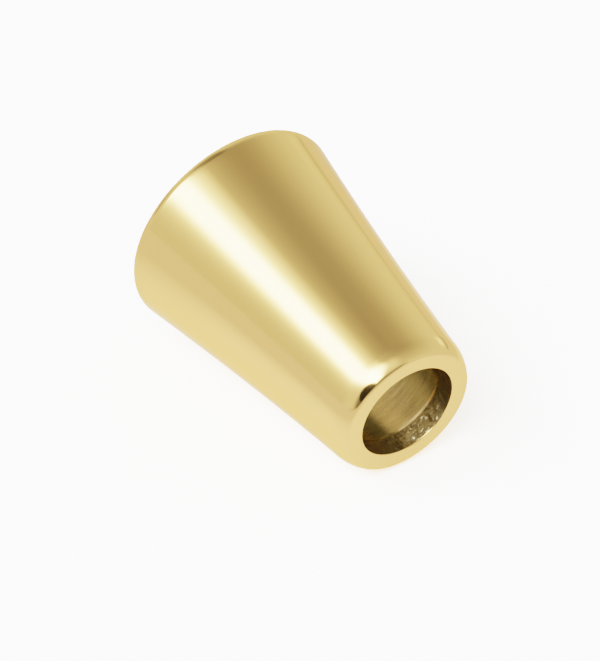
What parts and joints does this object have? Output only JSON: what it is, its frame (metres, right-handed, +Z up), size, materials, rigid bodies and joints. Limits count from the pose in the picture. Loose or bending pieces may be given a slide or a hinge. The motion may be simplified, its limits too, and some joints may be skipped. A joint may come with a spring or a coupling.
{
  "type": "cone end cap",
  "caption": "Hollow polished metal cone that covers the end of a cord or tassel: open wide mouth, round cord hole in the narrow end.",
  "frame": {"origin": "on the ground under the middle of the box of the cap, which lies on its side", "axes": "+Z up; -Y the front. From the wide end to the narrow end the cone's axis points 25 degrees off +X, towards the front, and dips 7.6 degrees below level"},
  "size_m": [0.0156, 0.0132, 0.0102],
  "materials": {
    "light_gold_plate": "mirror-polished cast zinc alloy with light gold plating, inside of the cavity left as turned"
  },
  "bodies": {
    "root": {"cone_cap": "light_gold_plate"}
  },
  "joints": []
}
